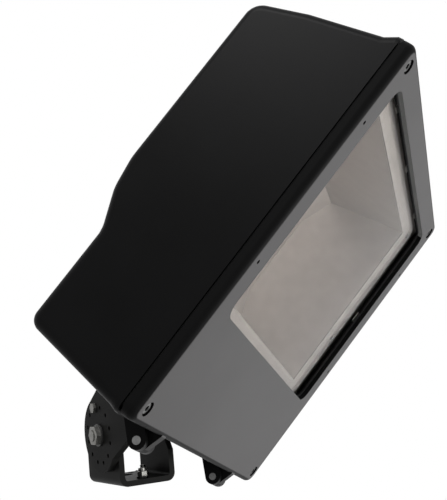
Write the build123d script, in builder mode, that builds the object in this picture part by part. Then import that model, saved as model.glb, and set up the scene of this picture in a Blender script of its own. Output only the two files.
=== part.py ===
from build123d import *
from math import cos, sin, radians
import os

os.makedirs("parts", exist_ok=True)

# How the lamp head is aimed over its foot bracket in the photo, in degrees.
head_turn = 35.9
head_aim = 38.8
head_roll = 18.0

# Foot yoke: a bent plate standing on the mounting surface.
yoke_plate = 6.0
yoke_width = 64.5
yoke_front = 29.5
yoke_rear = 54.5
far_ear_rear = 43.5
yoke_bend = 9.0
pivot_height = 55.2
near_ear_radius = 35.0
far_ear_radius = 13.0
near_shoulder = 16.0
far_shoulder = 22.0

# Holes in the foot.
centre_bore = 17.5
centre_bore_back = 30.0
fixing_hole = 8.0
fixing_spacing = 30.0
fixing_back = 46.0
base_bolt_hole = 6.4
base_bolt_side = 15.0
base_bolt_back = 14.0
base_bolt_front = 16.0
base_bolt_size = 6.0

# Tilt pivot, with its degree ring.
pivot_bolt_size = 12.0
pivot_hole = 12.1
bolt_head = 18.0
head_high = 3.5
spacer_outer = 18.0
ring_radius = 30.0
ring_hole = 4.6
ring_count = 12
ring_offset = 15.0
cheek_gap = 0.3
cheek_thick = 8.0
cheek_radius = 40.0
arm_slope = 28.0

# Lamp head, measured from the door's lower near corner.
door_wide = 459.5
door_tall = 396.5
door_corner = 12.0
door_thick = 13.0
door_skin = 5.0
door_rim = 5.0
door_edge_round = 7.0
window_side = 32.0
window_low = 117.0
window_above = 28.5
window_high = door_tall - window_above
window_corner = 14.0
glass_back = 7.0
glass_thick = 5.0
glass_overlap = 8.0
gasket_width = 5.6
gasket_inset = 5.2
ledge_wide = 13.0
ledge_deep = 9.0
lip_deep = 5.5
seam_gap = 3.0
screw_inset_u = 17.9
screw_inset_v = 15.8
screw_size = 6.0
screw_recess = 14.0
accessory_hole = 4.0
accessory_inset = 14.0
accessory_low = 166.6
accessory_from_top = 80.0
side_clip_lower = 2.5
clip_screw_head = 2.5
clip_screw_size = 3.0
rib_near = 55.0
rib_next = 145.0
rib_from_far = 57.5
rib_next_from_far = 147.5

# Housing casting.
wall = 4.0
rim_land = 11.0
near_draft_front = 3.0
near_draft_back = 11.0
lower_back = 135.5
upper_back = 158.0
step_low = 112.0
step_mid = 149.0
step_high = 180.0
step_rise = 17.0
top_back = door_tall - 33.5
top_swell = door_tall - 18.5
top_front = door_tall - 5.5
top_rim = door_tall + 1.0
back_corner = 12.0
top_corner = 18.0
side_round = 10.0

# Door hinges on the lower edge.
hinge_low = 14.5
hinge_back = 15.0
hinge_boss = 8.5
hinge_pin = 8.0
hinge_near = 83.0
hinge_from_far = 99.5
hinge_far = door_wide - hinge_from_far
lug_width = 8.0
ear_width = 11.0
ear_gap = 0.5
pin_clearance = 0.05
pin_proud = 0.8

# Swivel foot under the housing.
foot_u = 233.0
foot_n = -82.0
foot_radius = 32.0
foot_thick = 8.0
pad_level = 2.0
pad_radius = 33.0
# The degree ring lies beside, below and behind the swivel bolt by these.
ring_aside = 30.9
ring_under = 50.3
ring_behind = 35.5
ring_on_head = (foot_u + ring_aside, -ring_under, foot_n - ring_behind)
swivel_size = 12.0
swivel_hole = 12.2
boss_radius = 20.0
boss_depth = 16.0

# Reflector and gear.
mirror_sheet = 1.0
mirror_near = 67.0
mirror_from_far = 69.5
mirror_far = door_wide - mirror_from_far
mirror_from_sill = 13.0
mirror_low = window_low + mirror_from_sill
mirror_from_head = 18.0
mirror_high = window_high - mirror_from_head
mirror_floor = 128.0
mirror_bend = 112.0
mirror_mouth = 17.0
pillar_radius = 5.0
pillar_inset = 46.0
pillar_below_lamp = 38.0
pillar_above_mirror = 6.0

# Lamp, lying along the reflector from a socket at its near end.
lamp_v = 238.0
lamp_back = 82.0
lamp_start = 24.0
socket_radius = 20.0
socket_long = 34.0
base_radius = 13.2
bulb_radius = 22.0
bulb_long = 108.0
stem_radius = 3.0
stem_long = 22.0
arc_radius = 6.0
arc_long = 46.0

# Control gear on its tray, low in the housing.
tray_back = 122.0
tray_thick = 1.6
tray_low = 50.0
tray_high = 104.0
tray_near = 40.0
tray_from_far = 42.5
tray_far = door_wide - tray_from_far
core_near = 70.0
core_wide = 78.0
core_deep = 44.0
core_tall = 50.0
core_limb = 12.0
core_slot = 9.0
core_foot = 6.0
can_radius = 19.0
can_long = 86.0
can_near = 250.0
igniter_gap = 20.0
igniter_wide = 44.0
igniter_tall = 34.0
igniter_deep = 26.0
block_gap = 14.0
block_wide = 36.0
block_tall = 22.0
block_deep = 14.0
clip_boss = 3.4
clip_thick = 1.5

# Cable gland in the lower end.
gland_from_far = 59.5
gland_u = door_wide - gland_from_far
gland_n = -88.0
gland_level = 3.0
gland_spot = 14.0
gland_hole = 16.2

# The lamp head's own frame: u across the door, v up the door, n out of the glass.
turn = radians(head_turn)
aim = radians(head_aim)
roll = radians(head_roll)
out_dir = Vector(cos(aim) * sin(turn), -cos(aim) * cos(turn), -sin(aim))
level_dir = Vector(cos(turn), sin(turn), 0)
rise_dir = out_dir.cross(level_dir)
u_dir = level_dir * cos(roll) - rise_dir * sin(roll)
v_dir = out_dir.cross(u_dir)
ring_face = yoke_width / 2 + cheek_gap + cheek_thick
ring_spot = u_dir * ring_on_head[0] + v_dir * ring_on_head[1] + out_dir * ring_on_head[2]
head_origin = Vector(-ring_face, 0, pivot_height) - ring_spot
head = Plane(origin=head_origin, x_dir=u_dir, z_dir=out_dir)


def front_plane(depth):
    # Faces out of the glass, at a depth behind the door face.
    return Plane(origin=head.from_local_coords(Vector(0, 0, -depth)), x_dir=u_dir, z_dir=out_dir)


def side_plane(across):
    # Cuts the head across its width; drawn in v and n.
    return Plane(origin=head.from_local_coords(Vector(across, 0, 0)), x_dir=v_dir, z_dir=u_dir)


def foot_plane(height):
    # Cuts the head level with its lower end; drawn in u and n.
    return Plane(origin=head.from_local_coords(Vector(0, height, 0)), x_dir=u_dir, z_dir=-v_dir)


glass_low_u = window_side - glass_overlap
glass_high_u = door_wide - window_side + glass_overlap
screw_spots = [
    (screw_inset_u, screw_inset_v),
    (door_wide - screw_inset_u, screw_inset_v),
    (screw_inset_u, door_tall - screw_inset_v),
    (door_wide - screw_inset_u, door_tall - screw_inset_v),
]
accessory_spots = [
    (accessory_inset, accessory_low),
    (accessory_inset, door_tall - accessory_from_top),
    (door_wide - accessory_inset, accessory_low),
    (door_wide - accessory_inset, door_tall - accessory_from_top),
]
pillar_low = lamp_v - pillar_below_lamp
pillar_high = mirror_high + pillar_above_mirror
pillar_spots = [
    (pillar_inset, pillar_low),
    (door_wide - pillar_inset, pillar_low),
    (pillar_inset, pillar_high),
    (door_wide - pillar_inset, pillar_high),
]
tray_spots = [
    (tray_near + 8, tray_low + 8),
    (tray_far - 8, tray_low + 8),
    (tray_near + 8, tray_high - 8),
    (tray_far - 8, tray_high - 8),
]
side_clip_v = (window_low + window_high) / 2 - side_clip_lower
clip_spots = [
    (90, window_low - 13),
    (door_wide / 2, window_low - 13),
    (door_wide - 90, window_low - 13),
    (90, window_high + 11.5),
    (door_wide / 2, window_high + 11.5),
    (door_wide - 90, window_high + 11.5),
    (18.5, side_clip_v),
    (door_wide - 18.5, side_clip_v),
]
rib_spots = [rib_near, rib_next, door_wide - rib_next_from_far, door_wide - rib_from_far]
half_width = yoke_width / 2
base_bolt_spots = [(0, -base_bolt_front), (-base_bolt_side, base_bolt_back), (base_bolt_side, base_bolt_back)]
inner_half = half_width - yoke_plate
cheek_face = half_width + cheek_gap
ear_side = Plane.YZ
hinge_starts = [hinge_near, hinge_far]

# Foot yoke, one bent steel plate with a tall near ear and a short far ear.
with BuildPart() as yoke:
    with BuildSketch(Plane.XZ.offset(yoke_front)):
        with Locations((0, (pivot_height + 40) / 2)):
            Rectangle(yoke_width, pivot_height + 40)
        with Locations((0, yoke_plate + (pivot_height + 60) / 2)):
            Rectangle(2 * inner_half, pivot_height + 60, mode=Mode.SUBTRACT)
    extrude(amount=-(yoke_front + yoke_rear))
    fillet(yoke.edges().filter_by(Axis.Y).group_by(Axis.Z)[0], yoke_bend)
    fillet(
        yoke.edges().filter_by(Axis.Y).filter_by_position(Axis.Z, yoke_plate - 0.1, yoke_plate + 0.1),
        yoke_bend - yoke_plate,
    )
    with BuildSketch(ear_side.offset(-half_width - 1)):
        with Locations(((yoke_rear - yoke_front) / 2, pivot_height)):
            Rectangle(200, 200)
        with BuildSketch(ear_side.offset(-half_width - 1), mode=Mode.SUBTRACT):
            with Locations((0, pivot_height)):
                Circle(near_ear_radius)
            with Locations(((yoke_rear - yoke_front) / 2, (pivot_height - near_shoulder - 50) / 2)):
                Rectangle(yoke_front + yoke_rear, pivot_height - near_shoulder + 50)
            make_hull()
    extrude(amount=yoke_plate + 2, mode=Mode.SUBTRACT)
    with BuildSketch(ear_side.offset(half_width + 1)):
        with Locations(((yoke_rear - yoke_front) / 2, pivot_height)):
            Rectangle(200, 200)
        with BuildSketch(ear_side.offset(half_width + 1), mode=Mode.SUBTRACT):
            with Locations((0, pivot_height)):
                Circle(far_ear_radius)
            with Locations(((far_ear_rear - yoke_front) / 2, (pivot_height - far_shoulder - 50) / 2)):
                Rectangle(yoke_front + far_ear_rear, pivot_height - far_shoulder + 50)
            make_hull()
    extrude(amount=-yoke_plate - 2, mode=Mode.SUBTRACT)
    # Pivot holes through both ears.
    with BuildSketch(ear_side.offset(-half_width - 1)):
        with Locations((0, pivot_height)):
            Circle(pivot_hole / 2)
    extrude(amount=yoke_width + 2, mode=Mode.SUBTRACT)
    # Bore, fixing holes and bolt holes in the base.
    with BuildSketch(Plane.XY):
        with Locations((0, centre_bore_back)):
            Circle(centre_bore / 2)
        with Locations((-fixing_spacing / 2, fixing_back), (fixing_spacing / 2, fixing_back)):
            Circle(fixing_hole / 2)
        with Locations(*base_bolt_spots):
            Circle(base_bolt_hole / 2)
    extrude(amount=yoke_plate + 1, mode=Mode.SUBTRACT)
yoke.part.label = "yoke"
export_step(yoke.part, "parts/yoke.step")

# Base bolts with their washers and nuts.
with BuildPart() as base_washers:
    with BuildSketch(Plane.XY.offset(yoke_plate)):
        with Locations(*base_bolt_spots):
            Circle(6.5)
            Circle(base_bolt_size / 2 + 0.2, mode=Mode.SUBTRACT)
    extrude(amount=1.6)
base_washers.part.label = "base_washers"
export_step(base_washers.part, "parts/base_washers.step")

with BuildPart() as base_bolts:
    with BuildSketch(Plane.XY):
        with Locations(*base_bolt_spots):
            Circle(base_bolt_size / 2)
    extrude(amount=yoke_plate + 2)
    with BuildSketch(Plane.XY.offset(yoke_plate + 1.6)):
        with Locations(*base_bolt_spots):
            RegularPolygon(5.0, 6, major_radius=False)
    extrude(amount=5.0)
    with BuildSketch(Plane.XY.offset(yoke_plate + 6.6)):
        with Locations(*base_bolt_spots):
            Circle(base_bolt_size / 2)
    extrude(amount=3.5)
base_bolts.part.label = "base_bolts"
export_step(base_bolts.part, "parts/base_bolts.step")

# Spacer tube that keeps the ears apart.
with BuildPart() as pivot_spacer:
    with BuildSketch(ear_side.offset(-inner_half)):
        with Locations((0, pivot_height)):
            Circle(spacer_outer / 2)
            Circle(pivot_hole / 2, mode=Mode.SUBTRACT)
    extrude(amount=2 * inner_half)
pivot_spacer.part.label = "pivot_spacer"
export_step(pivot_spacer.part, "parts/pivot_spacer.step")

# Pivot bolt from the far side, with its washer and nut on the ring cheek.
with BuildPart() as pivot_washer:
    with BuildSketch(ear_side.offset(-cheek_face - cheek_thick)):
        with Locations((0, pivot_height)):
            Circle(12)
            Circle(pivot_hole / 2 + 0.1, mode=Mode.SUBTRACT)
    extrude(amount=-1.8)
pivot_washer.part.label = "pivot_washer"
export_step(pivot_washer.part, "parts/pivot_washer.step")

with BuildPart() as pivot_bolt:
    # Low round head against the far ear.
    with BuildSketch(ear_side.offset(half_width)):
        with Locations((0, pivot_height)):
            Circle(bolt_head / 2)
    extrude(amount=head_high)
    fillet(pivot_bolt.edges().filter_by(GeomType.CIRCLE).sort_by(Axis.X)[-1], head_high - 1)
    with BuildSketch(ear_side.offset(half_width)):
        with Locations((0, pivot_height)):
            Circle(pivot_bolt_size / 2)
    extrude(amount=-(2 * half_width + cheek_gap + cheek_thick + 1.8 + 7))
pivot_bolt.part.label = "pivot_bolt"
export_step(pivot_bolt.part, "parts/pivot_bolt.step")

with BuildPart() as pivot_nut:
    with BuildSketch(ear_side.offset(-cheek_face - cheek_thick - 1.8)):
        with Locations((0, pivot_height)):
            RegularPolygon(9.5, 6, major_radius=False)
            Circle(pivot_bolt_size / 2, mode=Mode.SUBTRACT)
    extrude(amount=-6.0)
    chamfer(pivot_nut.faces().sort_by(Axis.X)[0].edges().filter_by(GeomType.LINE), 1.0)
pivot_nut.part.label = "pivot_nut"
export_step(pivot_nut.part, "parts/pivot_nut.step")

# Arm casting: a ring cheek beside the near ear, merging into the swivel disc.
slope = radians(arm_slope)
with BuildPart() as arm:
    with BuildSketch(ear_side.offset(-cheek_face - cheek_thick)):
        with Locations((0, pivot_height)):
            Circle(cheek_radius)
        with BuildLine():
            Polyline(
                (0, pivot_height - cheek_radius),
                (-84, pivot_height + 2),
                (-112, pivot_height + 18),
                (-112, pivot_height + 60),
                (-20, pivot_height + 60),
                (cheek_radius * sin(slope), pivot_height + cheek_radius * cos(slope)),
                close=True,
            )
        make_face()
    extrude(amount=cheek_thick)
    # The casting ends under the lamp head's lower end.
    with BuildSketch(foot_plane(pad_level - foot_thick)):
        with Locations((foot_u, foot_n)):
            Circle(400)
    extrude(amount=-300, mode=Mode.SUBTRACT)
    with BuildSketch(foot_plane(pad_level)):
        with Locations((foot_u, foot_n)):
            Circle(foot_radius)
    extrude(amount=foot_thick)
    # Pivot hole, ring of index holes and the swivel hole.
    with BuildSketch(ear_side.offset(-cheek_face - cheek_thick - 1)):
        with Locations((0, pivot_height)):
            Circle(pivot_hole / 2)
            with PolarLocations(ring_radius, ring_count, start_angle=ring_offset):
                Circle(ring_hole / 2)
    extrude(amount=cheek_thick + 1.5, mode=Mode.SUBTRACT)
    with BuildSketch(foot_plane(pad_level - foot_thick - 1)):
        with Locations((foot_u, foot_n)):
            Circle(swivel_hole / 2)
    extrude(amount=-foot_thick - 2, mode=Mode.SUBTRACT)
arm.part.label = "arm"
export_step(arm.part, "parts/arm.step")

# Lock bolt screwed into one of the ring holes of the cheek.
lock_angle = radians(ring_offset + 60)
with BuildPart() as lock_bolt:
    with BuildSketch(ear_side.offset(-cheek_face - cheek_thick)):
        with Locations((ring_radius * cos(lock_angle), pivot_height + ring_radius * sin(lock_angle))):
            RegularPolygon(5.0, 6, major_radius=False)
    extrude(amount=-3.0)
    with BuildSketch(ear_side.offset(-cheek_face - cheek_thick)):
        with Locations((ring_radius * cos(lock_angle), pivot_height + ring_radius * sin(lock_angle))):
            Circle(ring_hole / 2)
    extrude(amount=cheek_thick - 1)
lock_bolt.part.label = "lock_bolt"
export_step(lock_bolt.part, "parts/lock_bolt.step")

# Swivel bolt: head under the disc, nut inside the housing.
with BuildPart() as swivel_bolt:
    with BuildSketch(foot_plane(pad_level - foot_thick)):
        with Locations((foot_u, foot_n)):
            RegularPolygon(8.0, 6, major_radius=False)
    extrude(amount=6.5)
    with BuildSketch(foot_plane(pad_level - foot_thick)):
        with Locations((foot_u, foot_n)):
            Circle(swivel_size / 2)
    extrude(amount=-(foot_thick + boss_depth + 14))
swivel_bolt.part.label = "swivel_bolt"
export_step(swivel_bolt.part, "parts/swivel_bolt.step")

boss_top = pad_level + boss_depth
with BuildPart() as swivel_washer:
    with BuildSketch(foot_plane(boss_top)):
        with Locations((foot_u, foot_n)):
            Circle(12)
            Circle(swivel_hole / 2 + 0.1, mode=Mode.SUBTRACT)
    extrude(amount=-2.0)
swivel_washer.part.label = "swivel_washer"
export_step(swivel_washer.part, "parts/swivel_washer.step")

with BuildPart() as swivel_nut:
    with BuildSketch(foot_plane(boss_top + 2.0)):
        with Locations((foot_u, foot_n)):
            RegularPolygon(9.5, 6, major_radius=False)
            Circle(swivel_size / 2, mode=Mode.SUBTRACT)
    extrude(amount=-9.0)
swivel_nut.part.label = "swivel_nut"
export_step(swivel_nut.part, "parts/swivel_nut.step")

# Housing: the side profile and the drafted plan meet in one hollow casting.
rim_back = door_thick + seam_gap
across_axis = Axis(head_origin, u_dir)
front_axis = Axis(head_origin, out_dir)


def cross_edge(block, v, n):
    # The edge running across the head that lies nearest to a point of its side profile.
    spot = head.from_local_coords(Vector(door_wide / 2, v, n))
    return block.edges().filter_by(across_axis).sort_by_distance(spot)[0]


with BuildPart() as cavity:
    with BuildSketch(side_plane(rim_land + near_draft_front)):
        with BuildLine():
            Polyline(
                (rim_land - 1.0, 5),
                (rim_land - 1.0, -rim_back),
                (11.0 + wall, -lower_back + wall),
                (step_low - 1.0, -lower_back + wall),
                (step_mid - 1.0, -lower_back - step_rise + wall),
                (step_high, -upper_back + wall),
                (top_back - wall, -upper_back + wall),
                (door_tall - rim_land, -rim_back),
                (door_tall - rim_land, 5),
                close=True,
            )
        make_face()
    extrude(amount=door_wide - 2 * (rim_land + near_draft_front))
    fillet(cross_edge(cavity, 11.0 + wall, -lower_back + wall), back_corner - wall)
    fillet(cross_edge(cavity, top_back - wall, -upper_back + wall), top_corner - wall)
    for end in (0, -1):
        side_face = cavity.faces().sort_by(across_axis)[end]
        fillet(side_face.edges().sort_by(front_axis)[:-1], side_round - wall)

with BuildPart() as housing:
    with BuildSketch(side_plane(0)):
        with BuildLine():
            Polyline(
                (-1.8, -rim_back),
                (-1.8, -rim_back - 4),
                (0.2, -rim_back - 11),
                (11.0, -lower_back),
                (step_low, -lower_back),
                (step_mid, -lower_back - step_rise),
                (step_high, -upper_back),
                (top_back, -upper_back),
                (top_swell, -104.0),
                (top_front, -32.0),
                (top_rim, -rim_back - 4.5),
                (top_rim, -rim_back),
                close=True,
            )
        make_face()
    extrude(amount=door_wide)
    with BuildSketch(foot_plane(-20)):
        with BuildLine():
            Polyline(
                (-60, -10),
                (-60, -200),
                (near_draft_back, -200),
                (near_draft_back, -upper_back),
                (near_draft_front, -rim_back),
                (near_draft_front, -10),
                close=True,
            )
        make_face()
    extrude(amount=-460, mode=Mode.SUBTRACT)
    with BuildSketch(foot_plane(-20)):
        with BuildLine():
            Polyline(
                (door_wide + 60, -10),
                (door_wide + 60, -200),
                (door_wide - near_draft_back, -200),
                (door_wide - near_draft_back, -upper_back),
                (door_wide - near_draft_front, -rim_back),
                (door_wide - near_draft_front, -10),
                close=True,
            )
        make_face()
    extrude(amount=-460, mode=Mode.SUBTRACT)
    # Roundings: the two back corners, the step, then a soft edge round each side.
    fillet(cross_edge(housing, 11.0, -lower_back), back_corner)
    fillet(cross_edge(housing, top_back, -upper_back), top_corner)
    fillet(cross_edge(housing, step_low, -lower_back), 30)
    fillet(cross_edge(housing, step_mid, -lower_back - step_rise), 45)
    fillet(cross_edge(housing, step_high, -upper_back), 60)
    for end in (0, -1):
        side_face = housing.faces().sort_by(across_axis)[end]
        fillet(side_face.edges().sort_by(front_axis)[:-1], side_round)
    # Machined pad for the swivel disc.
    with BuildSketch(foot_plane(pad_level)):
        with Locations((foot_u, foot_n)):
            Circle(pad_radius)
    extrude(amount=-8)
    # Spot face for the cable gland.
    with BuildSketch(foot_plane(gland_level)):
        with Locations((gland_u, gland_n)):
            Circle(gland_spot)
    extrude(amount=-9)
    add(cavity.part, mode=Mode.SUBTRACT)
    # Boss inside for the swivel bolt.
    with BuildSketch(foot_plane(pad_level + boss_depth)):
        with Locations((foot_u, foot_n)):
            Circle(boss_radius)
    extrude(amount=boss_depth - 4)
    with BuildSketch(foot_plane(pad_level - 1)):
        with Locations((foot_u, foot_n)):
            Circle(swivel_hole / 2)
    extrude(amount=-boss_depth - 2, mode=Mode.SUBTRACT)
    with BuildSketch(foot_plane(gland_level - 1)):
        with Locations((gland_u, gland_n)):
            Circle(gland_hole / 2)
    extrude(amount=-30, mode=Mode.SUBTRACT)
    # Corner bosses that take the four door screws.
    with BuildSketch(front_plane(rim_back)):
        with Locations(*screw_spots):
            Circle(8)
    extrude(amount=-34)
    with BuildSketch(front_plane(rim_back)):
        with Locations(*screw_spots):
            Circle(screw_size / 2 + 1.1)
    extrude(amount=-24, mode=Mode.SUBTRACT)
    # Pillars that carry the reflector, and low feet for the gear tray.
    with BuildSketch(front_plane(mirror_mouth + mirror_sheet)):
        with Locations(*pillar_spots):
            Circle(pillar_radius)
    extrude(amount=-(upper_back - mirror_mouth - mirror_sheet - wall + 1))
    with BuildSketch(front_plane(mirror_mouth + mirror_sheet)):
        with Locations(*pillar_spots):
            Circle(2.1)
    extrude(amount=-14, mode=Mode.SUBTRACT)
    with BuildSketch(front_plane(tray_back)):
        with Locations(*tray_spots):
            Circle(6)
    extrude(amount=-(lower_back - wall - tray_back + 1))
    with BuildSketch(front_plane(tray_back)):
        with Locations(*tray_spots):
            Circle(2.1)
    extrude(amount=-4, mode=Mode.SUBTRACT)
    # Hinge lugs along the lower edge.
    for start in hinge_starts:
        for shift in (0, lug_width + ear_width + 2 * ear_gap):
            with BuildSketch(side_plane(start + shift)):
                with Locations((-hinge_low, -hinge_back)):
                    Circle(hinge_boss)
                with BuildLine():
                    Polyline((4, -22), (4, -48), (3, -48), (3, -22), close=True)
                make_face()
                make_hull()
            extrude(amount=lug_width)
        with BuildSketch(side_plane(start - 1)):
            with Locations((-hinge_low, -hinge_back)):
                Circle(hinge_pin / 2)
        extrude(amount=2 * lug_width + ear_width + 2 * ear_gap + 2, mode=Mode.SUBTRACT)
housing.part.label = "housing"
export_step(housing.part, "parts/housing.step")

# Hinge pins, pressed into the housing lugs.
with BuildPart() as hinge_pins:
    for start in hinge_starts:
        with BuildSketch(side_plane(start - pin_proud)):
            with Locations((-hinge_low, -hinge_back)):
                Circle(hinge_pin / 2)
        extrude(amount=2 * lug_width + ear_width + 2 * ear_gap + 2 * pin_proud)
hinge_pins.part.label = "hinge_pins"
export_step(hinge_pins.part, "parts/hinge_pins.step")

# Door frame casting with its window, ledge, skirt, ribs and hinge ears.
window_wide = door_wide - 2 * window_side
window_tall = window_high - window_low
window_mid = (door_wide / 2, (window_low + window_high) / 2)
with BuildPart() as door_frame:
    with BuildSketch(front_plane(door_thick)):
        with Locations((door_wide / 2, door_tall / 2)):
            RectangleRounded(door_wide, door_tall, door_corner)
    extrude(amount=door_thick)
    fillet(door_frame.faces().sort_by(front_axis)[-1].edges(), door_edge_round)
    with BuildSketch(front_plane(door_thick)):
        with Locations((door_wide / 2, door_tall / 2)):
            RectangleRounded(door_wide - 2 * door_rim, door_tall - 2 * door_rim, door_corner - door_rim)
    extrude(amount=door_thick - ledge_deep, mode=Mode.SUBTRACT)
    with BuildSketch(front_plane(ledge_deep)):
        with Locations((door_wide / 2, door_tall / 2)):
            RectangleRounded(door_wide - 2 * ledge_wide, door_tall - 2 * ledge_wide, 8)
    extrude(amount=ledge_deep - door_skin, mode=Mode.SUBTRACT)
    # Lip behind the window, where the glass beds.
    with BuildSketch(front_plane(lip_deep)):
        with Locations(window_mid):
            RectangleRounded(
                window_wide + 2 * glass_overlap, window_tall + 2 * glass_overlap, window_corner + glass_overlap
            )
    extrude(amount=lip_deep - door_skin)
    # Screw bosses, clip bosses and stiffening ribs on the back.
    with BuildSketch(front_plane(ledge_deep)):
        with Locations(*screw_spots):
            Circle(8.5)
    extrude(amount=ledge_deep - door_skin)
    with BuildSketch(front_plane(glass_back + glass_thick)):
        with Locations(*clip_spots):
            Circle(clip_boss)
    extrude(amount=glass_back + glass_thick - door_skin)
    with BuildSketch(front_plane(ledge_deep)):
        for across in rib_spots:
            with Locations((across, window_low / 2)):
                Rectangle(3, window_low - 2 * glass_overlap)
    extrude(amount=ledge_deep - door_skin)
    # Hinge ears.
    for start in hinge_starts:
        with BuildSketch(side_plane(start + lug_width + ear_gap)):
            with Locations((-hinge_low, -hinge_back)):
                Circle(hinge_boss)
            with BuildLine():
                Polyline((3, -1.5), (3, -12), (1, -12), (1, -1.5), close=True)
            make_face()
            make_hull()
        extrude(amount=ear_width)
        with BuildSketch(side_plane(start)):
            with Locations((-hinge_low, -hinge_back)):
                Circle(hinge_pin / 2 + pin_clearance)
        extrude(amount=2 * lug_width + ear_width, mode=Mode.SUBTRACT)
    # Window, screw recesses and the small accessory holes.
    with BuildSketch(front_plane(-1)):
        with Locations(window_mid):
            RectangleRounded(window_wide, window_tall, window_corner)
    extrude(amount=-lip_deep - 2, mode=Mode.SUBTRACT)
    with BuildSketch(front_plane(0)):
        with Locations(*screw_spots):
            Circle(screw_recess / 2)
    extrude(amount=-6, mode=Mode.SUBTRACT)
    with BuildSketch(front_plane(0)):
        with Locations(*screw_spots):
            Circle(screw_size / 2 + 0.3)
    extrude(amount=-ledge_deep - 1, mode=Mode.SUBTRACT)
    with BuildSketch(front_plane(0)):
        with Locations(*accessory_spots):
            Circle(accessory_hole / 2)
    extrude(amount=-7, mode=Mode.SUBTRACT)
    with BuildSketch(front_plane(glass_back + glass_thick)):
        with Locations(*clip_spots):
            Circle(1.5)
    extrude(amount=6, mode=Mode.SUBTRACT)
door_frame.part.label = "door_frame"
export_step(door_frame.part, "parts/door_frame.step")

# Door gasket between the door ledge and the housing rim.
with BuildPart() as door_gasket:
    with BuildSketch(front_plane(rim_back)):
        with Locations((door_wide / 2, door_tall / 2)):
            RectangleRounded(door_wide - 2 * gasket_inset, door_tall - 2 * gasket_inset, 6.5)
            RectangleRounded(
                door_wide - 2 * gasket_inset - 2 * gasket_width,
                door_tall - 2 * gasket_inset - 2 * gasket_width,
                1.5,
                mode=Mode.SUBTRACT,
            )
    extrude(amount=rim_back - ledge_deep)
door_gasket.part.label = "door_gasket"
export_step(door_gasket.part, "parts/door_gasket.step")

# Glass bedding gasket and the glass pane.
with BuildPart() as lens_gasket:
    with BuildSketch(front_plane(glass_back)):
        with Locations(window_mid):
            RectangleRounded(
                window_wide + 2 * glass_overlap - 1, window_tall + 2 * glass_overlap - 1, window_corner + 7
            )
            RectangleRounded(window_wide - 2, window_tall - 2, window_corner - 1, mode=Mode.SUBTRACT)
    extrude(amount=glass_back - lip_deep)
lens_gasket.part.label = "lens_gasket"
export_step(lens_gasket.part, "parts/lens_gasket.step")

with BuildPart() as lens_glass:
    with BuildSketch(front_plane(glass_back + glass_thick)):
        with Locations(window_mid):
            RectangleRounded(
                window_wide + 2 * glass_overlap, window_tall + 2 * glass_overlap, window_corner + glass_overlap
            )
    extrude(amount=glass_thick)
lens_glass.part.label = "lens_glass"
export_step(lens_glass.part, "parts/lens_glass.step")

# Clips that hold the glass, each with one screw.
with BuildPart() as lens_clips:
    with BuildSketch(front_plane(glass_back + glass_thick + clip_thick)):
        for across, up in clip_spots:
            reach_u = 0
            reach_v = 0
            if across < glass_low_u:
                reach_u = 1
            elif across > glass_high_u:
                reach_u = -1
            elif up < window_low:
                reach_v = 1
            else:
                reach_v = -1
            with Locations((across + reach_u * 4.5, up + reach_v * 4.5)):
                Rectangle(14 if reach_u else 12, 14 if reach_v else 12)
        with Locations(*clip_spots):
            Circle(1.6, mode=Mode.SUBTRACT)
    extrude(amount=clip_thick)
lens_clips.part.label = "lens_clips"
export_step(lens_clips.part, "parts/lens_clips.step")

with BuildPart() as clip_screws:
    with BuildSketch(front_plane(glass_back + glass_thick + clip_thick)):
        with Locations(*clip_spots):
            Circle(clip_screw_head)
    extrude(amount=-1.8)
    with BuildSketch(front_plane(glass_back + glass_thick + clip_thick)):
        with Locations(*clip_spots):
            Circle(clip_screw_size / 2)
    extrude(amount=6)
clip_screws.part.label = "clip_screws"
export_step(clip_screws.part, "parts/clip_screws.step")

# Captive screws in the door's corner recesses.
with BuildPart() as captive_screws:
    with BuildSketch(front_plane(6)):
        with Locations(*screw_spots):
            Circle(5.25)
    extrude(amount=4.6)
    with BuildSketch(front_plane(1.4)):
        with Locations(*screw_spots):
            RegularPolygon(2.5, 6, major_radius=False)
    extrude(amount=-2.4, mode=Mode.SUBTRACT)
    with BuildSketch(front_plane(6)):
        with Locations(*screw_spots):
            Circle(screw_size / 2)
    extrude(amount=-(rim_back + 3 - 6))
captive_screws.part.label = "captive_screws"
export_step(captive_screws.part, "parts/captive_screws.step")

# Reflector: folded bright trough, its two end sheets and the mouth frame.


def trough_points(grow):
    # The trough's folded section, grown outward by a sheet thickness.
    return [
        (mirror_high + grow, -mirror_mouth - mirror_sheet),
        (mirror_high - 16 + grow, -mirror_bend),
        (mirror_high - 56 + grow / 2, -mirror_floor - grow),
        (mirror_low + 56 - grow / 2, -mirror_floor - grow),
        (mirror_low + 16 - grow, -mirror_bend),
        (mirror_low - grow, -mirror_mouth - mirror_sheet),
    ]


with BuildPart() as reflector_trough:
    with BuildSketch(side_plane(mirror_near)):
        with BuildLine():
            Polyline(*trough_points(mirror_sheet), close=True)
        make_face()
        with BuildLine():
            Polyline(*trough_points(0), close=True)
        make_face(mode=Mode.SUBTRACT)
    extrude(amount=mirror_far - mirror_near)
reflector_trough.part.label = "reflector_trough"
export_step(reflector_trough.part, "parts/reflector_trough.step")

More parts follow.
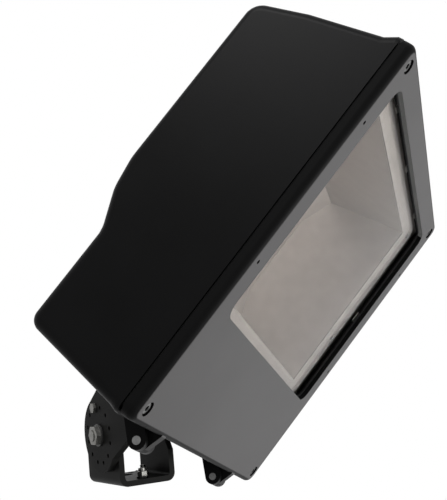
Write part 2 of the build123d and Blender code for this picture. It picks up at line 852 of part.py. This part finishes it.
with BuildPart() as reflector_ends:
    for across in (mirror_near - mirror_sheet, mirror_far):
        with BuildSketch(side_plane(across)):
            with BuildLine():
                Polyline(
                    (mirror_high + 3, -mirror_mouth - mirror_sheet),
                    (mirror_high - 13, -mirror_bend - 2),
                    (mirror_high - 54, -mirror_floor - 3),
                    (mirror_low + 54, -mirror_floor - 3),
                    (mirror_low + 13, -mirror_bend - 2),
                    (mirror_low - 3, -mirror_mouth - mirror_sheet),
                    close=True,
                )
            make_face()
        extrude(amount=mirror_sheet)
    with BuildSketch(side_plane(mirror_near - mirror_sheet - 1)):
        with Locations((lamp_v, -lamp_back)):
            Circle(socket_radius + 1)
    extrude(amount=mirror_sheet + 2, mode=Mode.SUBTRACT)
reflector_ends.part.label = "reflector_ends"
export_step(reflector_ends.part, "parts/reflector_ends.step")

with BuildPart() as reflector_frame:
    with BuildSketch(front_plane(mirror_mouth + mirror_sheet)):
        with Locations((door_wide / 2, (mirror_low + mirror_high) / 2 + 4)):
            Rectangle(door_wide - 44, mirror_high - mirror_low + 38)
        with Locations(((mirror_near + mirror_far) / 2, (mirror_low + mirror_high) / 2)):
            Rectangle(mirror_far - mirror_near, mirror_high - mirror_low, mode=Mode.SUBTRACT)
        with Locations(*pillar_spots):
            Circle(2.3, mode=Mode.SUBTRACT)
    extrude(amount=mirror_sheet)
reflector_frame.part.label = "reflector_frame"
export_step(reflector_frame.part, "parts/reflector_frame.step")

with BuildPart() as reflector_screws:
    with BuildSketch(front_plane(mirror_mouth)):
        with Locations(*pillar_spots):
            Circle(3.5)
    extrude(amount=2.4)
    with BuildSketch(front_plane(mirror_mouth)):
        with Locations(*pillar_spots):
            Circle(2.0)
    extrude(amount=-12)
reflector_screws.part.label = "reflector_screws"
export_step(reflector_screws.part, "parts/reflector_screws.step")

# Lamp: glass bulb, arc tube, screw base and the socket on its bracket.
with BuildPart() as lamp_socket:
    with BuildSketch(side_plane(lamp_start)):
        with Locations((lamp_v, -lamp_back)):
            Circle(socket_radius)
    extrude(amount=socket_long)
    with BuildSketch(side_plane(lamp_start + 8)):
        with Locations((lamp_v, -lamp_back)):
            Circle(base_radius + 0.6)
    extrude(amount=socket_long, mode=Mode.SUBTRACT)
lamp_socket.part.label = "lamp_socket"
export_step(lamp_socket.part, "parts/lamp_socket.step")

with BuildPart() as socket_bracket:
    with BuildSketch(side_plane(lamp_start - 2)):
        with Locations((lamp_v, -(lamp_back + upper_back - wall) / 2 + 6)):
            Rectangle(34, upper_back - wall - lamp_back + 12)
    extrude(amount=2)
    with BuildSketch(front_plane(upper_back - wall)):
        with Locations((lamp_start + 10, lamp_v)):
            Rectangle(24, 34)
        with Locations((lamp_start + 14, lamp_v)):
            Circle(2.2, mode=Mode.SUBTRACT)
    extrude(amount=2)
socket_bracket.part.label = "socket_bracket"
export_step(socket_bracket.part, "parts/socket_bracket.step")

with BuildPart() as lamp_base:
    with BuildSketch(side_plane(lamp_start + 8)):
        with Locations((lamp_v, -lamp_back)):
            Circle(base_radius)
    extrude(amount=socket_long - 4)
lamp_base.part.label = "lamp_base"
export_step(lamp_base.part, "parts/lamp_base.step")

bulb_start = lamp_start + socket_long + 4
lamp_line = Axis(head.from_local_coords(Vector(0, lamp_v, -lamp_back)), u_dir)
glass_wall = 1.2
bulb_end = bulb_start + bulb_long
tip_mid = bulb_end - bulb_radius
inner_radius = bulb_radius - glass_wall
with BuildPart() as lamp_bulb:
    with BuildSketch(foot_plane(lamp_v)):
        with BuildLine():
            Polyline(
                (bulb_start, -lamp_back + 10),
                (bulb_start, -lamp_back + 12),
                (bulb_start + 22, -lamp_back + bulb_radius),
                (tip_mid, -lamp_back + bulb_radius),
            )
            RadiusArc((tip_mid, -lamp_back + bulb_radius), (bulb_end, -lamp_back), bulb_radius)
            Line((bulb_end, -lamp_back), (bulb_end - glass_wall, -lamp_back))
            RadiusArc((bulb_end - glass_wall, -lamp_back), (tip_mid, -lamp_back + inner_radius), -inner_radius)
            Polyline(
                (tip_mid, -lamp_back + inner_radius),
                (bulb_start + 22, -lamp_back + inner_radius),
                (bulb_start, -lamp_back + 10),
            )
        make_face()
    revolve(axis=lamp_line)
lamp_bulb.part.label = "lamp_bulb"
export_step(lamp_bulb.part, "parts/lamp_bulb.step")

# Arc tube on its stem, standing on the lamp base inside the bulb.
with BuildPart() as lamp_arc_tube:
    with BuildSketch(side_plane(bulb_start)):
        with Locations((lamp_v, -lamp_back)):
            Circle(stem_radius)
    extrude(amount=stem_long)
    with BuildSketch(side_plane(bulb_start + stem_long)):
        with Locations((lamp_v, -lamp_back)):
            Circle(arc_radius)
    extrude(amount=arc_long)
    fillet(lamp_arc_tube.edges().filter_by(GeomType.CIRCLE).group_by(across_axis)[-1], arc_radius / 2)
lamp_arc_tube.part.label = "lamp_arc_tube"
export_step(lamp_arc_tube.part, "parts/lamp_arc_tube.step")

# Gear tray on its four feet, with its screws.
with BuildPart() as gear_tray:
    with BuildSketch(front_plane(tray_back)):
        with Locations(((tray_near + tray_far) / 2, (tray_low + tray_high) / 2)):
            RectangleRounded(tray_far - tray_near, tray_high - tray_low, 5)
        with Locations(*tray_spots):
            Circle(2.3, mode=Mode.SUBTRACT)
    extrude(amount=tray_thick)
gear_tray.part.label = "gear_tray"
export_step(gear_tray.part, "parts/gear_tray.step")

with BuildPart() as gear_screws:
    with BuildSketch(front_plane(tray_back - tray_thick)):
        with Locations(*tray_spots):
            Circle(3.6)
    extrude(amount=2.2)
    with BuildSketch(front_plane(tray_back - tray_thick)):
        with Locations(*tray_spots):
            Circle(2.0)
    extrude(amount=-tray_thick - 3.5)
gear_screws.part.label = "gear_screws"
export_step(gear_screws.part, "parts/gear_screws.step")

# Ballast: laminated core with a window, and the coil wound through it.
tray_front = tray_back - tray_thick
core_mid_v = (tray_low + tray_high) / 2
with BuildPart() as ballast_core:
    with BuildSketch(front_plane(tray_front - core_foot)):
        with Locations((core_near + core_wide / 2, core_mid_v)):
            Rectangle(core_wide, core_tall)
            with Locations((0, core_limb / 2 + core_slot / 2), (0, -core_limb / 2 - core_slot / 2)):
                Rectangle(core_wide - 24, core_slot, mode=Mode.SUBTRACT)
    extrude(amount=core_deep)
    # Mounting feet down to the tray.
    with BuildSketch(front_plane(tray_front)):
        for across in (core_near + 4, core_near + core_wide - 4):
            with Locations((across, core_mid_v)):
                Rectangle(8, core_tall)
    extrude(amount=core_foot)
ballast_core.part.label = "ballast_core"
export_step(ballast_core.part, "parts/ballast_core.step")

with BuildPart() as ballast_coil:
    with BuildSketch(side_plane(core_near + 14)):
        with Locations((core_mid_v, -tray_front + core_foot + core_deep / 2)):
            Rectangle(core_limb + 2 * core_slot - 1, core_deep + 2 * core_foot - 2)
            Rectangle(core_limb, core_deep, mode=Mode.SUBTRACT)
    extrude(amount=core_wide - 28)
ballast_coil.part.label = "ballast_coil"
export_step(ballast_coil.part, "parts/ballast_coil.step")

# Capacitor can lying on the tray, igniter box and terminal block.
with BuildPart() as capacitor:
    with BuildSketch(side_plane(can_near)):
        with Locations((core_mid_v, -tray_front + can_radius)):
            Circle(can_radius)
    extrude(amount=can_long)
    fillet(capacitor.edges().filter_by(GeomType.CIRCLE), 2.5)
capacitor.part.label = "capacitor"
export_step(capacitor.part, "parts/capacitor.step")

with BuildPart() as igniter:
    with BuildSketch(front_plane(tray_front)):
        with Locations((core_near + core_wide + igniter_gap + igniter_wide / 2, core_mid_v)):
            RectangleRounded(igniter_wide, igniter_tall, 3)
    extrude(amount=igniter_deep)
igniter.part.label = "igniter"
export_step(igniter.part, "parts/igniter.step")

block_mid = can_near + can_long + block_gap + block_wide / 2
with BuildPart() as terminal_block:
    with BuildSketch(front_plane(tray_front)):
        with Locations((block_mid, core_mid_v)):
            Rectangle(block_wide, block_tall)
    extrude(amount=block_deep)
    with BuildSketch(front_plane(tray_front - block_deep)):
        with GridLocations(11, 12, 3, 2):
            with Locations((block_mid, core_mid_v)):
                Circle(2.6)
    extrude(amount=-5, mode=Mode.SUBTRACT)
terminal_block.part.label = "terminal_block"
export_step(terminal_block.part, "parts/terminal_block.step")

# Cable gland in the lower end; the cord itself is not part of the model.
with BuildPart() as cable_gland:
    with BuildSketch(foot_plane(gland_level)):
        with Locations((gland_u, gland_n)):
            RegularPolygon(12, 6, major_radius=False)
    extrude(amount=7)
    with BuildSketch(foot_plane(gland_level - 7)):
        with Locations((gland_u, gland_n)):
            Circle(10.5)
    extrude(amount=9)
    with BuildSketch(foot_plane(gland_level)):
        with Locations((gland_u, gland_n)):
            Circle(8)
    extrude(amount=-18)
    with BuildSketch(foot_plane(gland_level + 20)):
        with Locations((gland_u, gland_n)):
            Circle(5)
    extrude(amount=60, mode=Mode.SUBTRACT)
cable_gland.part.label = "cable_gland"
export_step(cable_gland.part, "parts/cable_gland.step")
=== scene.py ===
import bpy
from mathutils import Matrix, Vector

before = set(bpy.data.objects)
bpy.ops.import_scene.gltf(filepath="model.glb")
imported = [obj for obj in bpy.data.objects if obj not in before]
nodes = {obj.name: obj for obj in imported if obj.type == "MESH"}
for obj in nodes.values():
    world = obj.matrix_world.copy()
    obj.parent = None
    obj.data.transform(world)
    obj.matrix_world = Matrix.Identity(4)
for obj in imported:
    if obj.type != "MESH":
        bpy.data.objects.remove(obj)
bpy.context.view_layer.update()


# Housing: one deep aluminium casting with drafted sides and a stepped back.
# It is powder coated satin black inside and out, with a fine orange peel.
def new_finish(name):
    # A finish, its node tree, and the shader that carries it.
    finish = bpy.data.materials.new(name)
    finish.use_nodes = True
    tree = finish.node_tree
    return finish, tree, tree.nodes["Principled BSDF"]


def cover(pieces, finish):
    # Each named piece gets this finish and no other.
    for piece in pieces:
        slots = nodes[piece].data.materials
        slots.clear()
        slots.append(finish)


def lay_pattern(tree, spot, fineness, detail):
    # A cloudy pattern that is fixed to the piece.
    pattern = tree.nodes.new("ShaderNodeTexNoise")
    pattern.inputs["Scale"].default_value = fineness
    pattern.inputs["Detail"].default_value = detail
    tree.links.new(spot, pattern.inputs["Vector"])
    return pattern.outputs["Fac"]


def tint(tree, pattern, dark, light, spread):
    # The colour runs from dark to light over this spread of the pattern.
    shade = tree.nodes.new("ShaderNodeValToRGB")
    low_stop, high_stop = shade.color_ramp.elements
    low_stop.position, high_stop.position = spread
    low_stop.color, high_stop.color = (*dark, 1.0), (*light, 1.0)
    tree.links.new(pattern, shade.inputs["Fac"])
    return shade.outputs["Color"]


def vary_gloss(tree, shader, pattern, smooth, rough):
    gloss = tree.nodes.new("ShaderNodeMapRange")
    gloss.inputs["To Min"].default_value = smooth
    gloss.inputs["To Max"].default_value = rough
    tree.links.new(pattern, gloss.inputs["Value"])
    tree.links.new(gloss.outputs["Result"], shader.inputs["Roughness"])


def roughen(tree, shader, pattern, strength, depth):
    bump = tree.nodes.new("ShaderNodeBump")
    bump.inputs["Strength"].default_value = strength
    bump.inputs["Distance"].default_value = depth
    tree.links.new(pattern, bump.inputs["Height"])
    tree.links.new(bump.outputs["Normal"], shader.inputs["Normal"])


def powder_coat(name, pieces, dark, light, smooth, rough, specular):
    cloud_fineness, cloud_detail, cloud_spread = 9.0, 4.0, (0.35, 0.65)
    peel_fineness, peel_detail = 1100.0, 2.0
    peel_strength, peel_depth = 0.22, 0.0003
    finish, tree, shader = new_finish(name)
    shader.inputs["Specular IOR Level"].default_value = specular
    place = tree.nodes.new("ShaderNodeTexCoord")
    spot = place.outputs["Object"]
    cloud = lay_pattern(tree, spot, cloud_fineness, cloud_detail)
    colour = tint(tree, cloud, dark, light, cloud_spread)
    tree.links.new(colour, shader.inputs["Base Color"])
    peel = lay_pattern(tree, spot, peel_fineness, peel_detail)
    vary_gloss(tree, shader, cloud, smooth, rough)
    roughen(tree, shader, peel, peel_strength, peel_depth)
    cover(pieces, finish)
    return tree, shader, place, colour


powder_coat(
    "black_coat", ["housing"],
    dark=(0.0025, 0.0025, 0.0026), light=(0.004, 0.004, 0.0042),
    smooth=0.36, rough=0.42, specular=0.05)


# Door frame: cast aluminium with a rolled outer edge and a window opening.
# Its coat is satin black; its flat face is coloured grey as a painted sheen, and
# the rest keeps the black.
# The wall at the window's upper end is coloured grey too, as a painted
# highlight.
door_out = (0.4570, -0.6313, -0.6266)
door_across = (0.6572, 0.7144, -0.2404)
door_up = (0.5994, -0.3019, 0.7413)
face_starts, face_full = 0.94, 0.985
window_middle, window_half = -0.074, 0.2
head_wall_height, head_wall_half = 0.4351, 0.003
edge_black = (0.006, 0.006, 0.0061, 1.0)
# A painted highlight on the wall at the window's upper end.
head_wall_painted_highlight = (0.2, 0.203, 0.2, 1.0)
# The face's grey below is a painted sheen on the black coat.
door_tree, door_shader, door_place, face_painted_sheen = powder_coat(
    "door_coat", ["door_frame"],
    dark=(0.082, 0.0805, 0.0812), light=(0.09, 0.0885, 0.0892),
    smooth=0.46, rough=0.52, specular=0.03)


def along_door(source, direction):
    # How far the spot, or its normal, reaches along one of the door's edges.
    reach = door_tree.nodes.new("ShaderNodeVectorMath")
    reach.operation = "DOT_PRODUCT"
    reach.inputs[1].default_value = direction
    door_tree.links.new(door_place.outputs[source], reach.inputs[0])
    return reach.outputs["Value"]


def within(value, middle, half):
    band = door_tree.nodes.new("ShaderNodeMath")
    band.operation = "COMPARE"
    band.inputs[1].default_value = middle
    band.inputs[2].default_value = half
    door_tree.links.new(value, band.inputs[0])
    return band.outputs["Value"]


flat = door_tree.nodes.new("ShaderNodeMapRange")
flat.inputs["From Min"].default_value = face_starts
flat.inputs["From Max"].default_value = face_full
door_tree.links.new(along_door("Normal", door_out), flat.inputs["Value"])

in_window = within(
    along_door("Object", door_across), window_middle, window_half)
at_head = within(
    along_door("Object", door_up), head_wall_height, head_wall_half)
head_wall = door_tree.nodes.new("ShaderNodeMath")
head_wall.operation = "MULTIPLY"
door_tree.links.new(in_window, head_wall.inputs[0])
door_tree.links.new(at_head, head_wall.inputs[1])

# Painted highlight: the wall at the window's upper end gets the grey, the other
# walls stay black.
head_wall_highlight_mix = door_tree.nodes.new("ShaderNodeMix")
head_wall_highlight_mix.data_type = "RGBA"
head_wall_highlight_mix.inputs["A"].default_value = edge_black
head_wall_highlight_mix.inputs["B"].default_value = head_wall_painted_highlight
door_tree.links.new(head_wall.outputs["Value"], head_wall_highlight_mix.inputs["Factor"])

# Painted sheen: the flat face takes the grey, the rolled edge keeps the black
# coat.
face_sheen_mix = door_tree.nodes.new("ShaderNodeMix")
face_sheen_mix.data_type = "RGBA"
door_tree.links.new(flat.outputs["Result"], face_sheen_mix.inputs["Factor"])
door_tree.links.new(head_wall_highlight_mix.outputs["Result"], face_sheen_mix.inputs["A"])
door_tree.links.new(face_painted_sheen, face_sheen_mix.inputs["B"])
door_tree.links.new(face_sheen_mix.outputs["Result"], door_shader.inputs["Base Color"])


# Yoke: steel plate bent into a foot and two ears, punched, then powder coated.
# The near ear is a tall rounded plate and the far ear has a low shoulder.
powder_coat(
    "yoke_coat", ["yoke"],
    dark=(0.01, 0.01, 0.0097), light=(0.014, 0.014, 0.0135),
    smooth=0.36, rough=0.44, specular=0.018)


# Arm: an aluminium casting with a ring of index holes round the pivot.
# Its foot takes the swivel bolt under the housing; it is coated black too.
powder_coat(
    "arm_coat", ["arm"],
    dark=(0.008, 0.008, 0.0077), light=(0.011, 0.011, 0.0106),
    smooth=0.28, rough=0.34, specular=0.012)


# Foot bolts, pivot bolt with its nut, and the lock bolt: zinc plated steel.
# They are bought parts, dull grey after plating, turned down on their washers.
def worked_finish(name, pieces, dark, light, smooth, rough,
                  metallic=1.0, fineness=300.0, stretch=None,
                  strength=0.15, depth=0.0002, specular=None):
    # Metal, and moulded or glazed parts too where metallic is nothing.
    # One grain sets colour, gloss and, where it has strength, the surface.
    grain_detail, grain_spread = 4.0, (0.3, 0.7)
    finish, tree, shader = new_finish(name)
    shader.inputs["Metallic"].default_value = metallic
    if specular is not None:
        shader.inputs["Specular IOR Level"].default_value = specular
    place = tree.nodes.new("ShaderNodeTexCoord")
    spot = place.outputs["Object"]
    if stretch:
        brush = tree.nodes.new("ShaderNodeMapping")
        brush.inputs["Scale"].default_value = stretch
        tree.links.new(spot, brush.inputs["Vector"])
        spot = brush.outputs["Vector"]
    grain = lay_pattern(tree, spot, fineness, grain_detail)
    colour = tint(tree, grain, dark, light, grain_spread)
    tree.links.new(colour, shader.inputs["Base Color"])
    vary_gloss(tree, shader, grain, smooth, rough)
    if strength:
        roughen(tree, shader, grain, strength, depth)
    cover(pieces, finish)


worked_finish(
    "zinc_plate", ["base_bolts", "pivot_bolt", "pivot_nut", "lock_bolt"],
    dark=(0.13, 0.128, 0.12), light=(0.22, 0.217, 0.205),
    smooth=0.38, rough=0.52)


# Foot washers, pivot washer and the spacer tube between the ears.
# They are plain steel blacked in oil, slightly mottled.
worked_finish(
    "dark_washer", ["base_washers", "pivot_washer", "pivot_spacer"],
    dark=(0.03, 0.03, 0.03), light=(0.06, 0.06, 0.058),
    smooth=0.42, rough=0.58, metallic=0.6)


# Swivel bolt, its flat washer and its nut: zinc plated steel.
# They clamp the arm's foot to the pad under the housing.
worked_finish(
    "swivel_zinc", ["swivel_bolt", "swivel_washer", "swivel_nut"],
    dark=(0.22, 0.215, 0.205), light=(0.34, 0.335, 0.32),
    smooth=0.38, rough=0.52)


# Hinge pins: ground stainless rods with a head, pressed into the lugs.
# They leave the door free to drop open on its two knuckles.
worked_finish(
    "pin_steel", ["hinge_pins"],
    dark=(0.14, 0.14, 0.14), light=(0.2, 0.2, 0.197),
    smooth=0.3, rough=0.4)


# Captive screws: stainless pan heads sunk in round recesses of the door.
# They clamp the door on its gasket and stay in it when it hangs open.
worked_finish(
    "screw_steel", ["captive_screws"],
    dark=(0.09, 0.09, 0.09), light=(0.2, 0.2, 0.197),
    smooth=0.3, rough=0.42)


# Front glass: one flat tempered pane, 5 mm thick, with ground edges.
# It lies behind the window against its gasket and carries no print.
# Its index is low, so that the reflector shows at the photo's low angle.
def clear_glass(name, pieces, colour, roughness, index):
    finish, tree, shader = new_finish(name)
    shader.inputs["Base Color"].default_value = (*colour, 1.0)
    shader.inputs["Roughness"].default_value = roughness
    shader.inputs["Transmission Weight"].default_value = 1.0
    shader.inputs["IOR"].default_value = index
    cover(pieces, finish)


clear_glass(
    "pane_glass", ["lens_glass"],
    colour=(0.97, 0.967, 0.96), roughness=0.02, index=1.1)


# Glass gasket: a black silicone ring between the pane and the door.
# It shows as a dark band along the window's edge.
worked_finish(
    "glass_rubber", ["lens_gasket"],
    dark=(0.006, 0.006, 0.006), light=(0.01, 0.01, 0.01),
    smooth=0.7, rough=0.85, metallic=0.0, specular=0.3)


# Door gasket: a black silicone cord laid in the door's channel.
# The housing's rim presses into it when the screws are tight.
worked_finish(
    "door_rubber", ["door_gasket"],
    dark=(0.006, 0.006, 0.006), light=(0.01, 0.01, 0.01),
    smooth=0.7, rough=0.85, metallic=0.0, specular=0.3)


# Glass clips and their screws: bent stainless strip, each with a pan head.
# They press the pane on its gasket from the back of the door.
worked_finish(
    "clip_steel", ["lens_clips", "clip_screws"],
    dark=(0.42, 0.42, 0.41), light=(0.55, 0.55, 0.54),
    smooth=0.3, rough=0.42)


# Reflector trough: one sheet of semi-bright anodised aluminium, folded in
# flats. Rolling marks run along the sheet and soften what it mirrors.
worked_finish(
    "mirror_sheet", ["reflector_trough"],
    dark=(0.56, 0.522, 0.49), light=(0.62, 0.582, 0.548),
    smooth=0.3, rough=0.44,
    fineness=60.0, stretch=(0.15, 1.0, 1.0), strength=0.06)


# Reflector ends: flat cheeks of the same sheet, closing the trough's sides.
# They are tabbed and riveted to the trough.
# Their colour is a little darker than the trough's, as painted shade on the
# ends.
worked_finish(
    "mirror_ends_shaded", ["reflector_ends"],
    dark=(0.52, 0.484, 0.457), light=(0.58, 0.542, 0.513),
    smooth=0.3, rough=0.44, fineness=60.0, strength=0.06)


# Reflector frame: a flat flange of sheet round the mouth of the trough.
# Four pan head screws hold it on the pillars cast in the housing.
# Its colour is much darker than the trough's sheet, as painted shade on the
# flange.
worked_finish(
    "mirror_frame_shaded", ["reflector_frame"],
    dark=(0.25, 0.227, 0.209), light=(0.285, 0.26, 0.24),
    smooth=0.58, rough=0.68, fineness=60.0, strength=0.06)


# Reflector screws: zinc plated pan heads at the frame's corners.
# They bite into the cast pillars.
worked_finish(
    "frame_screws", ["reflector_screws"],
    dark=(0.3, 0.3, 0.29), light=(0.42, 0.42, 0.41),
    smooth=0.35, rough=0.5)


# Lamp socket: a round block of glazed ceramic with a brass shell inside.
# It is fixed with its bracket behind the trough's end.
worked_finish(
    "glazed_white", ["lamp_socket"],
    dark=(0.68, 0.67, 0.63), light=(0.75, 0.74, 0.7),
    smooth=0.18, rough=0.3, metallic=0.0, fineness=40.0, strength=0.0)


# Socket bracket: folded zinc plated sheet, screwed down inside the housing.
# Its faces show the faint spangle of the plating.
worked_finish(
    "bracket_zinc", ["socket_bracket"],
    dark=(0.4, 0.4, 0.4), light=(0.52, 0.52, 0.51),
    smooth=0.35, rough=0.5, fineness=120.0)


# Lamp base: a brass screw shell rolled with a coarse round thread.
# It turns into the socket and carries the bulb.
worked_finish(
    "cap_brass", ["lamp_base"],
    dark=(0.5, 0.37, 0.16), light=(0.62, 0.47, 0.21),
    smooth=0.26, rough=0.4)


# Lamp bulb: a blown bulb of thin clear hard glass round the arc tube.
# It is sealed into the brass base.
clear_glass(
    "bulb_glass", ["lamp_bulb"],
    colour=(0.95, 0.95, 0.95), roughness=0.03, index=1.1)


# Arc tube: a small translucent ceramic capsule held along the bulb's axis.
# It is the part that glows when the lamp is lit.
worked_finish(
    "arc_ceramic", ["lamp_arc_tube"],
    dark=(0.68, 0.66, 0.6), light=(0.75, 0.73, 0.68),
    smooth=0.3, rough=0.45, metallic=0.0, fineness=150.0)


# Gear tray: folded zinc plated sheet that carries the electrical gear.
# It lies in the deep lower part of the housing.
worked_finish(
    "tray_zinc", ["gear_tray"],
    dark=(0.4, 0.4, 0.4), light=(0.52, 0.52, 0.51),
    smooth=0.35, rough=0.5, fineness=90.0)


# Gear screws: zinc plated pan heads that hold the tray on its bosses.
# They are the same screws as the reflector's.
worked_finish(
    "tray_screws", ["gear_screws"],
    dark=(0.3, 0.3, 0.29), light=(0.42, 0.42, 0.41),
    smooth=0.35, rough=0.5)


# Ballast core: a stack of thin steel laminations, oiled and dark.
# The sheet edges show as fine lines across the block.
worked_finish(
    "lamination", ["ballast_core"],
    dark=(0.03, 0.03, 0.032), light=(0.09, 0.088, 0.085),
    smooth=0.4, rough=0.55, metallic=0.7,
    fineness=8.0, stretch=(1.0, 1.0, 120.0), strength=0.3)


# Ballast coil: enamelled copper wire wound in layers round the middle limb.
# It is dipped in a dark red brown varnish.
worked_finish(
    "varnished_wire", ["ballast_coil"],
    dark=(0.14, 0.035, 0.012), light=(0.3, 0.09, 0.035),
    smooth=0.28, rough=0.42, metallic=0.3,
    fineness=10.0, stretch=(1.0, 1.0, 90.0), strength=0.5, depth=0.0004)


# Capacitor: an oval can of drawn aluminium lying on the tray.
# Drawing leaves fine lines along the can.
worked_finish(
    "can_metal", ["capacitor"],
    dark=(0.55, 0.55, 0.55), light=(0.68, 0.68, 0.67),
    smooth=0.26, rough=0.4, fineness=80.0, stretch=(1.0, 1.0, 12.0))


# Igniter: a small potted box of black moulded plastic.
# Its faces have a fine spark-eroded texture.
worked_finish(
    "box_plastic", ["igniter"],
    dark=(0.016, 0.016, 0.016), light=(0.024, 0.024, 0.024),
    smooth=0.45, rough=0.6, metallic=0.0, fineness=900.0)


# Terminal block: white moulded plastic with a well for each screw.
# The mains leads and the gear's wires end here.
worked_finish(
    "block_plastic", ["terminal_block"],
    dark=(0.66, 0.65, 0.61), light=(0.72, 0.71, 0.67),
    smooth=0.4, rough=0.5, metallic=0.0, fineness=60.0, strength=0.0)


# Cable gland: black moulded nylon, screwed into the hole in the lower end.
# Its cap nut squeezes a seal round the cable.
worked_finish(
    "gland_plastic", ["cable_gland"],
    dark=(0.016, 0.016, 0.016), light=(0.024, 0.024, 0.024),
    smooth=0.42, rough=0.55, metallic=0.0, fineness=700.0)


# Camera: the photo's view, from low in front and to the near side.
# The place and the two directions come from fitting the door's corners.
camera_spot = Vector((-0.46497137, -1.01507232, 0.1262443))
camera_right = Vector((0.86256059, -0.49879967, -0.0847824)).normalized()
camera_back = Vector((-0.50558527, -0.85613895, -0.1068159)).normalized()
camera_up = camera_back.cross(camera_right).normalized()
camera_axes = Matrix((camera_right, camera_up, camera_back))
camera_turn = camera_axes.transposed().to_4x4()
view_camera = bpy.data.cameras.new("view_camera")
view_camera.lens = 72.0
view_camera.sensor_width = 36.0
view_camera.clip_end = 20.0
camera = bpy.data.objects.new("camera", view_camera)
bpy.context.scene.collection.objects.link(camera)
camera.matrix_world = Matrix.Translation(camera_spot) @ camera_turn
bpy.context.scene.camera = camera


# White studio: an even pale surround, pure white where the camera sees it,
# through glass and in reflections. As a light on the black faces it is
# dimmer, so that they keep their shape.
def shown_rays(tree):
    # One for each ray that shows the background, and nothing for the rest.
    ray = tree.nodes.new("ShaderNodeLightPath")
    shown = ray.outputs["Is Camera Ray"]
    for kind in ("Is Transmission Ray", "Is Glossy Ray"):
        either = tree.nodes.new("ShaderNodeMath")
        either.operation = "MAXIMUM"
        tree.links.new(shown, either.inputs[0])
        tree.links.new(ray.outputs[kind], either.inputs[1])
        shown = either.outputs["Value"]
    return shown


pure_white = (1.0, 1.0, 1.0, 1.0)
seen_strength = 1.0
lighting_strength = 0.3
studio = bpy.data.worlds.new("studio")
bpy.context.scene.world = studio
studio.use_nodes = True
sky = studio.node_tree
for old in list(sky.nodes):
    sky.nodes.remove(old)
sky_out = sky.nodes.new("ShaderNodeOutputWorld")
white = sky.nodes.new("ShaderNodeBackground")
white.inputs["Color"].default_value = pure_white
white.inputs["Strength"].default_value = seen_strength
soft = sky.nodes.new("ShaderNodeBackground")
soft.inputs["Color"].default_value = pure_white
soft.inputs["Strength"].default_value = lighting_strength
sky_mix = sky.nodes.new("ShaderNodeMixShader")
sky.links.new(shown_rays(sky), sky_mix.inputs["Fac"])
sky.links.new(soft.outputs["Background"], sky_mix.inputs[1])
sky.links.new(white.outputs["Background"], sky_mix.inputs[2])
sky.links.new(sky_mix.outputs["Shader"], sky_out.inputs["Surface"])
bpy.context.scene.view_settings.view_transform = "Standard"


# Key light: a wide, low soft box in front, to the right and below the door.
# It lights the door's face and looks up at the lamp head.
def soft_box(name, power, width, height, spot, target):
    lamp_data = bpy.data.lights.new(name, "AREA")
    lamp_data.energy = power
    lamp_data.shape = "RECTANGLE"
    lamp_data.size = width
    lamp_data.size_y = height
    lamp = bpy.data.objects.new(name, lamp_data)
    bpy.context.scene.collection.objects.link(lamp)
    lamp.location = spot
    look = Vector(target) - Vector(spot)
    lamp.rotation_euler = look.to_track_quat("-Z", "Y").to_euler()


soft_box(
    "key", power=12.0, width=0.8, height=0.3,
    spot=(0.8, -0.85, -0.25), target=(0.1, -0.15, 0.2))


# Top light: a soft box high on the near side.
# It makes the faint sheen on the housing's upper side.
soft_box(
    "top", power=15.0, width=0.6, height=0.6,
    spot=(-0.5, -0.6, 1.56), target=(0.03, -0.3, 0.41))


# Floor: a plain pale sheet, low enough for the door to hang open above it.
# It shows as white, and it keeps a soft shadow on the rays that light.
floor_reach = 6
floor_drop = -0.5
floor_mesh = bpy.data.meshes.new("floor")
floor_mesh.from_pydata(
    [(-floor_reach, -floor_reach, 0), (floor_reach, -floor_reach, 0),
     (floor_reach, floor_reach, 0), (-floor_reach, floor_reach, 0)],
    [], [(0, 1, 2, 3)])
floor = bpy.data.objects.new("floor", floor_mesh)
bpy.context.scene.collection.objects.link(floor)
floor.location = (0.0, 0.0, floor_drop)
floor_paint, floor_tree, floor_shader = new_finish("floor_paint")
floor_shader.inputs["Base Color"].default_value = (0.85, 0.85, 0.85, 1.0)
floor_shader.inputs["Roughness"].default_value = 0.9
floor_glow = floor_tree.nodes.new("ShaderNodeEmission")
floor_glow.inputs["Color"].default_value = pure_white
floor_glow.inputs["Strength"].default_value = seen_strength
floor_mix = floor_tree.nodes.new("ShaderNodeMixShader")
floor_out = floor_tree.nodes["Material Output"]
floor_tree.links.new(shown_rays(floor_tree), floor_mix.inputs["Fac"])
floor_tree.links.new(floor_shader.outputs["BSDF"], floor_mix.inputs[1])
floor_tree.links.new(floor_glow.outputs["Emission"], floor_mix.inputs[2])
floor_tree.links.new(floor_mix.outputs["Shader"], floor_out.inputs["Surface"])
floor_mesh.materials.append(floor_paint)
